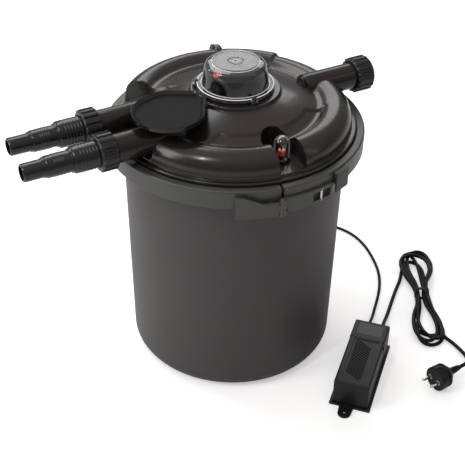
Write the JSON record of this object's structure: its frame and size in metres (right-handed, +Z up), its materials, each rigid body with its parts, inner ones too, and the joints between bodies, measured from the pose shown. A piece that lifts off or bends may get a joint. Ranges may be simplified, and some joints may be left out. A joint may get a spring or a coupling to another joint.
{
  "type": "pressurised pond filter",
  "caption": "Pressurised pond filter: tub with a clamped domed lid, stepped hose tails, selector lever, ultraviolet lamp, flow gauge, ballast and coiled mains lead.",
  "frame": {"origin": "centre of the tub's underside, on the surface that it stands on", "axes": "+Z up the tub's axis; -Y toward the side with the latch; the hose tails run out toward -X and -Y"},
  "size_m": [0.7481, 0.5469, 0.524],
  "materials": {
    "tub_grey": "fine satin",
    "band_grey": "satin",
    "tongue_grey": "satin",
    "lid_black": "polished",
    "fitting_black": "moulded satin",
    "seal_rubber": "smooth",
    "clear_cover": "clear polished",
    "signal_red": "polished",
    "steel": "turned",
    "quartz": "clear",
    "socket_white": "plain",
    "cable_black": "smooth",
    "tie_black": "smooth",
    "plug_black": "moulded",
    "pin_nickel": "nickel plated",
    "ballast_black": "moulded satin",
    "ballast_iron": "potted",
    "inner_plastic": "moulded",
    "coarse_foam": "open cell foam",
    "fine_foam": "open cell foam"
  },
  "bodies": {
    "filter": {"ballast_core": "ballast_iron", "ballast_end_cover": "ballast_black", "ballast_housing": "ballast_black", "ballast_plate": "ballast_black", "band_joint": "band_grey", "cable_gland": "lid_black", "clamp_band": "band_grey", "coarse_foam_high": "coarse_foam", "coarse_foam_low": "coarse_foam", "cover_screws": "steel", "fine_foam_high": "fine_foam", "fine_foam_low": "fine_foam", "gauge_dome": "clear_cover", "gauge_socket": "lid_black", "hank_tie": "tie_black", "inlet_tail": "fitting_black", "lamp_cable": "cable_black", "lamp_collar": "lid_black", "lamp_cover": "clear_cover", "lamp_gland": "cable_black", "lamp_head": "lid_black", "lamp_lens": "signal_red", "lamp_socket": "socket_white", "latch_bracket": "band_grey", "latch_cross_rod": "steel", "latch_pivot_pin": "steel", "latch_tongue": "tongue_grey", "lid_seal": "seal_rubber", "lid_shell": "lid_black", "lower_grid": "inner_plastic", "mains_gland": "cable_black", "mains_hank": "cable_black", "mains_lead": "cable_black", "mains_tail": "cable_black", "outlet_tail": "fitting_black", "plug_body": "plug_black", "plug_pins": "pin_nickel", "plug_relief": "cable_black", "quartz_sleeve": "quartz", "riser_tube": "inner_plastic", "sleeve_seal": "seal_rubber", "tub": "tub_grey", "union_gaskets": "seal_rubber", "upper_grid": "inner_plastic", "uv_lamp": "quartz", "valve_housing": "lid_black", "waste_pipe": "lid_black", "waste_seal": "seal_rubber"},
    "selector": {"selector_lever": "lid_black", "selector_spindle": "lid_black"},
    "clamp_lever": {"latch_lever": "band_grey", "latch_link_pin": "steel"},
    "clamp_link": {"latch_link": "band_grey"},
    "inlet_union_nut": {"inlet_nut": "fitting_black"},
    "outlet_union_nut": {"outlet_nut": "fitting_black"},
    "waste_screw_cap": {"waste_cap": "fitting_black"},
    "flow_float": {"gauge_float": "signal_red"}
  },
  "joints": [
    {"name": "selector_turn", "type": "hinge", "parent": "filter", "child": "selector", "pos_m": [-0.08921, -0.09413, 0.45], "axis": [0, 0, 1], "range_deg": [0, 90]},
    {"name": "clamp_lever_swing", "type": "hinge", "parent": "filter", "child": "clamp_lever", "pos_m": [0.0713, -0.19912, 0.391], "axis": [0, 0, 1], "range_deg": [0, 100]},
    {"name": "clamp_link_swing", "type": "hinge", "parent": "clamp_lever", "child": "clamp_link", "pos_m": [0.05575, -0.20101, 0.39], "axis": [0, 0, 1], "range_deg": [-100, 0]},
    {"name": "inlet_nut_spin", "type": "hinge", "parent": "filter", "child": "inlet_union_nut", "pos_m": [-0.18582, -0.14879, 0.45], "axis": [-0.8704, -0.4924, 0], "continuous": true},
    {"name": "outlet_nut_spin", "type": "hinge", "parent": "filter", "child": "outlet_union_nut", "pos_m": [-0.21715, -0.0792, 0.45], "axis": [-0.8704, -0.4924, 0], "continuous": true},
    {"name": "waste_cap_spin", "type": "hinge", "parent": "filter", "child": "waste_screw_cap", "pos_m": [0.20888, 0.11818, 0.447], "axis": [0.8704, 0.4924, 0], "continuous": true},
    {"name": "flow_float_rise", "type": "slide", "parent": "filter", "child": "flow_float", "axis": [0, 0, 1], "range_m": [0, 0.009]}
  ],
  "couplings": [
    {"joint": "clamp_link_swing", "follows": "clamp_lever_swing", "ratio": -1}
  ]
}
